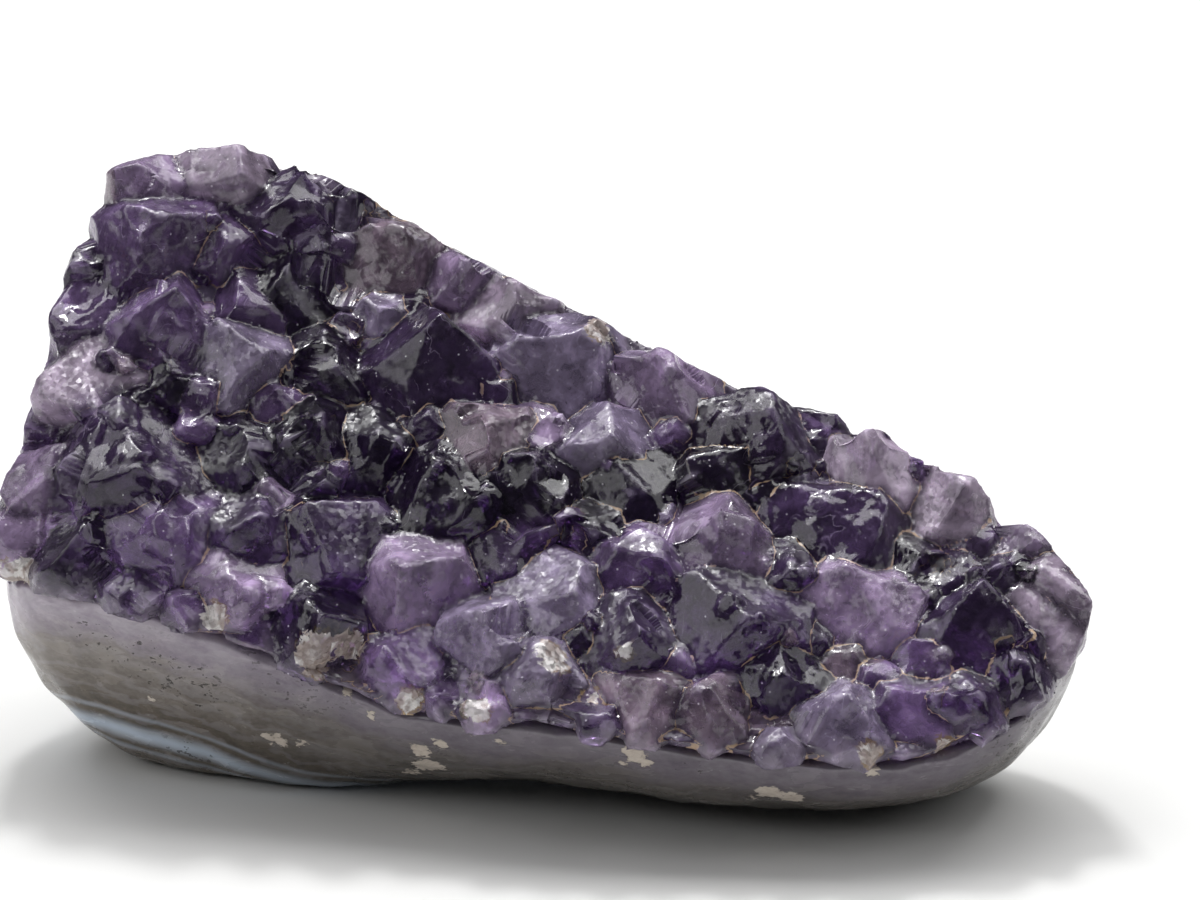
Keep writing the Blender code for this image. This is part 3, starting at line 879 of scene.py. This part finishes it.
def amethyst_material():
    """Clear violet quartz with clouds, cracks, sparkle, ochre seams and frosted facets."""
    n = Nodes("amethyst")
    clear = n.attribute("clear")
    frosted = n.attribute("frost")
    facet = n.attribute("facet")
    wear_and_edge_highlight = n.attribute("wear_and_edge_highlight")

    # Clouds and darker veils in the body, and where it is broken white, with a rim round that
    veil = n.noise(1.3 * MM, detail=3.0, roughness=0.65, warp=1.2)
    spot = n.attribute("white")
    white = n.inside(spot, veil, 1.3)
    rim = n.math("SUBTRACT", n.inside(n.math("ADD", spot, 0.35), veil, 1.3), white)
    haze = n.math("MULTIPLY", n.ramp(veil, 0.52, 0.72), n.math("ADD", frosted, 0.10), clamp=True)
    colour = n.mix(n.math("MULTIPLY", haze, 0.5), n.attribute("body", colour=True), HAZE)
    dark_veil = n.math("MULTIPLY", n.ramp(veil, 0.28, 0.46, 1.0, 0.0), 0.45)
    colour = n.mix(dark_veil, colour, DARK_VEIL)

    # Pale cracks, and worn edges with a painted highlight
    vein = n.ramp(n.math("ABSOLUTE", n.attribute("vein")), 0.0, 0.05, 1.0, 0.0)
    vein = n.math("MULTIPLY", vein, n.attribute("veined"))
    cracks_and_edge_highlights = n.math("MAXIMUM", n.math("MULTIPLY", vein, 0.5), n.math("MULTIPLY", wear_and_edge_highlight, 0.6))
    colour = n.mix(cracks_and_edge_highlights, colour, CRACK_AND_EDGE_HIGHLIGHT)

    # Painted light and shade of tiny facets, in patches, and painted glints as bright specks
    middle, chance = n.cells(0.75 * MM)
    chance = n.share_of(chance)
    coarse = n.math("MULTIPLY", n.attribute("painted_facet_light"), 0.65)
    painted_facet_light = n.math("ADD", coarse, n.math("MULTIPLY", chance, 0.35))
    colour = n.mix(1.0, colour, n.mix(painted_facet_light, (0.66,) * 3, (1.36,) * 3), "MULTIPLY")
    painted_glint = n.math("MULTIPLY", n.ramp(middle, 0.08, 0.20, 1.0, 0.0), n.ramp(chance, 0.72, 0.76))
    colour = n.mix(n.math("MULTIPLY", painted_glint, 0.85), colour, PAINTED_GLINT)

    # Painted shade and thin ochre lines in the seams, which wander a little
    ripples = n.noise(2.2 * MM, detail=1.5, roughness=0.6)
    wander = n.math("MULTIPLY", n.math("SUBTRACT", ripples, 0.5), 0.5)
    side_a = n.math("ABSOLUTE", n.math("ADD", n.attribute("side_a"), wander))
    side_b = n.math("ABSOLUTE", n.math("ADD", n.attribute("side_b"), wander))
    away = n.math("MINIMUM", side_a, side_b)
    width = n.math("MULTIPLY", n.attribute("ochre"), n.ramp(veil, 0.32, 0.68, 0.03, 0.30))
    line = n.math("MULTIPLY", n.ramp(n.math("DIVIDE", away, width), 0.45, 1.0, 1.0, 0.0), 0.80)
    ochre = n.mix(veil, *OCHRE)
    painted_seam_shade = n.math("MULTIPLY", n.ramp(away, 0.1, 1.1, 0.55, 0.0), n.math("SUBTRACT", 1.0, line))
    colour = n.mix(painted_seam_shade, colour, PAINTED_SEAM_SHADE)
    colour = n.mix(line, colour, ochre)

    # White broken places with a gold rim in parts
    grains = n.mix(n.ramp(painted_facet_light, 0.25, 0.75), *WHITE_GRAINS)
    colour = n.mix(n.math("MULTIPLY", white, 0.85), colour, grains)
    rim = n.math("MULTIPLY", rim, n.ramp(ripples, 0.45, 0.58, 0.0, 0.7))
    colour = n.mix(rim, colour, GOLD_RIM)
    n.join(colour, n.shader.inputs["Base Color"])

    # Clear, save where it is clouded, cracked, stained or broken
    dull = n.math("ADD", n.math("MULTIPLY", haze, 0.40), n.math("MULTIPLY", cracks_and_edge_highlights, 0.6))
    dull = n.math("ADD", dull, n.math("ADD", line, n.math("MULTIPLY", painted_glint, 0.6)))
    dull = n.math("ADD", dull, n.math("MULTIPLY", white, 0.65), clamp=True)
    see_through = n.math("MULTIPLY", clear, n.math("SUBTRACT", 1.0, dull))
    n.join(see_through, n.shader.inputs["Transmission Weight"])

    rough = n.math("ADD", n.ramp(facet, 0.10, 0.95, 0.09, 0.30), n.math("MULTIPLY", haze, 0.25))
    scratched = n.math("MULTIPLY", n.math("ADD", cracks_and_edge_highlights, line), 0.25)
    n.join(n.math("ADD", rough, scratched, clamp=True), n.shader.inputs["Roughness"])
    n.shader.inputs["IOR"].default_value = QUARTZ_IOR

    # Some facets are rugged, and glitter as if made of tiny ones. The clearest are calmer.
    calm = n.ramp(clear, 0.60, 0.94, 1.0, 0.62)
    rugged = n.math("MULTIPLY", n.ramp(facet, 0.35, 1.0, 0.06, 0.46), calm)
    rugged = n.math("MAXIMUM", rugged, white)
    rugged = n.math("MAXIMUM", rugged, n.math("MULTIPLY", haze, 0.5))
    glitter = n.tilted(n.cells(0.42 * MM)[1], rugged)
    n.join(n.bump(ripples, 0.17 * MM, glitter), n.shader.inputs["Normal"])

    # Light fades and turns violet on its way through
    absorb = n.add("ShaderNodeVolumeAbsorption")
    absorb.inputs["Color"].default_value = ABSORBED
    absorb.inputs["Density"].default_value = ABSORPTION
    n.join(absorb.outputs[0], n.output.inputs["Volume"])
    return n.material


def agate_material():
    """Polished rind: milky at the crystals' roots, then grey-brown, then banded agate."""
    n = Nodes("agate")
    below = n.attribute("below")
    fine = n.noise(4.0 * MM, detail=4.0, roughness=0.52, warp=0.4, squash=2.4)
    sway = n.math("MULTIPLY", n.math("SUBTRACT", n.noise(16.0 * MM, detail=1.0), 0.5), 5.0)
    jitter = n.math("MULTIPLY", n.math("SUBTRACT", fine, 0.5), 5.0)
    level = n.math("ADD", below, n.math("ADD", sway, jitter))

    streak = n.noise(1.0 * MM, detail=3.0, roughness=0.65, squash=1.7)
    grain = n.math("ADD", n.math("MULTIPLY", fine, 0.6), n.math("MULTIPLY", streak, 0.4))
    mottle = n.ramp(grain, 0.25, 0.75)
    root = n.mix(mottle, *RIND_ROOT)
    middle = n.mix(mottle, *RIND_MIDDLE)
    deep = n.mix(mottle, *RIND_DEEP)
    root = n.mix(n.ramp(below, 0.2, 1.1, 0.3, 0.0), root, RIND_EDGE)
    colour = n.mix(n.ramp(level, 2.0, 7.0), root, middle)
    colour = n.mix(n.ramp(level, 7.5, 12.0), colour, deep)
    bands = n.ramp(n.math("SINE", n.math("MULTIPLY", level, 3.1)), -0.2, 1.0, 0.0, 0.22)
    colour = n.mix(bands, colour, FAINT_BAND)
    agate = n.math("ADD", below, n.math("MULTIPLY", sway, 0.35))
    for place, width, strength in AGATE_LINES:
        line = n.math("ABSOLUTE", n.math("SUBTRACT", agate, place))
        colour = n.mix(n.ramp(line, 0.0, width, strength, 0.0), colour, BLUE_WHITE)

    # Painted light: paler towards the left end, darker towards the right
    along = n.add("ShaderNodeSeparateXYZ")
    n.join(n.place, along.inputs[0])
    shade = n.ramp(along.outputs[0], -42 * MM, -8 * MM)
    colour = n.mix(1.0, colour, n.mix(shade, (1.20,) * 3, (0.53,) * 3), "MULTIPLY")

    # Dark dashes, most of them where they are seen, and cream crumbs
    dashed = n.math("MAXIMUM", n.ramp(sway, 0.3, 1.0), n.ramp(n.attribute("dashed"), -0.8, 0.8))
    dashes = n.math("MULTIPLY", n.ramp(streak, 0.60, 0.64), dashed)
    colour = n.mix(n.math("MULTIPLY", dashes, 0.85), colour, DASH)
    patch = n.inside(n.attribute("patch"), streak, 1.3)
    colour = n.mix(patch, colour, n.mix(streak, *CREAM))
    n.join(colour, n.shader.inputs["Base Color"])
    n.join(n.ramp(fine, 0.35, 0.75, 0.14, 0.36), n.shader.inputs["Roughness"])
    n.shader.inputs["IOR"].default_value = AGATE_IOR
    height = n.math("SUBTRACT", n.math("MULTIPLY", fine, 0.15), n.math("MULTIPLY", dashes, 0.7))
    height = n.math("ADD", height, n.math("MULTIPLY", patch, streak))
    n.join(n.bump(height, 0.16 * MM), n.shader.inputs["Normal"])
    return n.material


def dress_base(regions):
    """The rind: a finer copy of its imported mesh, coloured by how far it lies below the crystals."""
    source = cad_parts["agate_base"]
    points, triangles = welded(as_points(source.data), as_triangles(source.data))
    obj = new_piece("agate_rind", mesh_from("agate_rind", points, triangles))
    finer = obj.modifiers.new("finer", "SUBSURF")
    finer.subdivision_type = "SIMPLE"
    finer.levels = RIND_LEVELS
    mesh = applied(obj)
    points = as_points(mesh)
    triangles = as_triangles(mesh)
    edges = edges_of(triangles)
    for _ in range(RIND_SMOOTHING):
        moved = points + 0.5 * (neighbour_mean(points, edges) - points)
        sole = points[:, 2] < 0.05 * MM
        moved[sole] = points[sole]
        points = moved
    normals = point_normals(points, triangles)
    lift = 0.10 * MM * waves(points, 6.0 * MM, seed=21)
    lift[points[:, 2] < 0.5 * MM] = 0.0
    points += normals * lift[:, None]
    mesh.vertices.foreach_set("co", points.astype(np.float32).ravel())
    below = np.array([regions.tree.find_nearest(point)[3] for point in points])
    store(mesh, "below", below / MM)
    base_tree = BVHTree.FromPolygons(points.tolist(), triangles.tolist())
    store(mesh, "patch", spots_at(points, base_tree, PATCHES))
    store(mesh, "dashed", spots_at(points, base_tree, DASHED))
    mesh.shade_smooth()
    mesh.materials.append(agate_material())
    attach(obj, "root")
    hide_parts("agate_base")
    return obj


def build_stage():
    floor = new_piece("floor", mesh_from(
        "floor", [(-3, -2, 0), (3, -2, 0), (3, 4, 0), (-3, 4, 0)], [(0, 1, 2, 3)]
    ))
    n = Nodes("pale_floor")
    n.join(n.mix(n.noise(30 * MM), *FLOOR_COLOURS), n.shader.inputs["Base Color"])
    n.shader.inputs["Roughness"].default_value = 0.7
    floor.data.materials.append(n.material)


def add_softbox(name, place, size, watts):
    light = bpy.data.lights.new(name, "AREA")
    light.shape = "RECTANGLE"
    light.size, light.size_y = size
    light.energy = watts
    obj = bpy.data.objects.new(name, light)
    bpy.context.scene.collection.objects.link(obj)
    obj.location = place
    obj.rotation_euler = (LIGHT_AIM - Vector(place)).to_track_quat("-Z", "Y").to_euler()


def build_lights():
    world = bpy.data.worlds.new("studio")
    bpy.context.scene.world = world
    world.use_nodes = True
    background = world.node_tree.nodes["Background"]
    background.inputs["Color"].default_value = ROOM_COLOUR
    background.inputs["Strength"].default_value = ROOM_STRENGTH
    for softbox in SOFTBOXES:
        add_softbox(*softbox)


def build_camera():
    camera = bpy.data.cameras.new("photo_camera")
    camera.lens = LENS
    camera.sensor_width = SENSOR
    obj = bpy.data.objects.new("photo_camera", camera)
    obj.location = CAMERA_PLACE
    obj.rotation_euler = (CAMERA_PITCH, 0.0, 0.0)
    bpy.context.scene.collection.objects.link(obj)
    bpy.context.scene.camera = obj


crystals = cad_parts["amethyst_crystals"]
regions = Regions(*welded(as_points(crystals.data), as_triangles(crystals.data)))
build_camera()
build_lights()
build_stage()
dress_base(regions)
dress_druse(regions)
bpy.context.scene.view_settings.view_transform = "Standard"
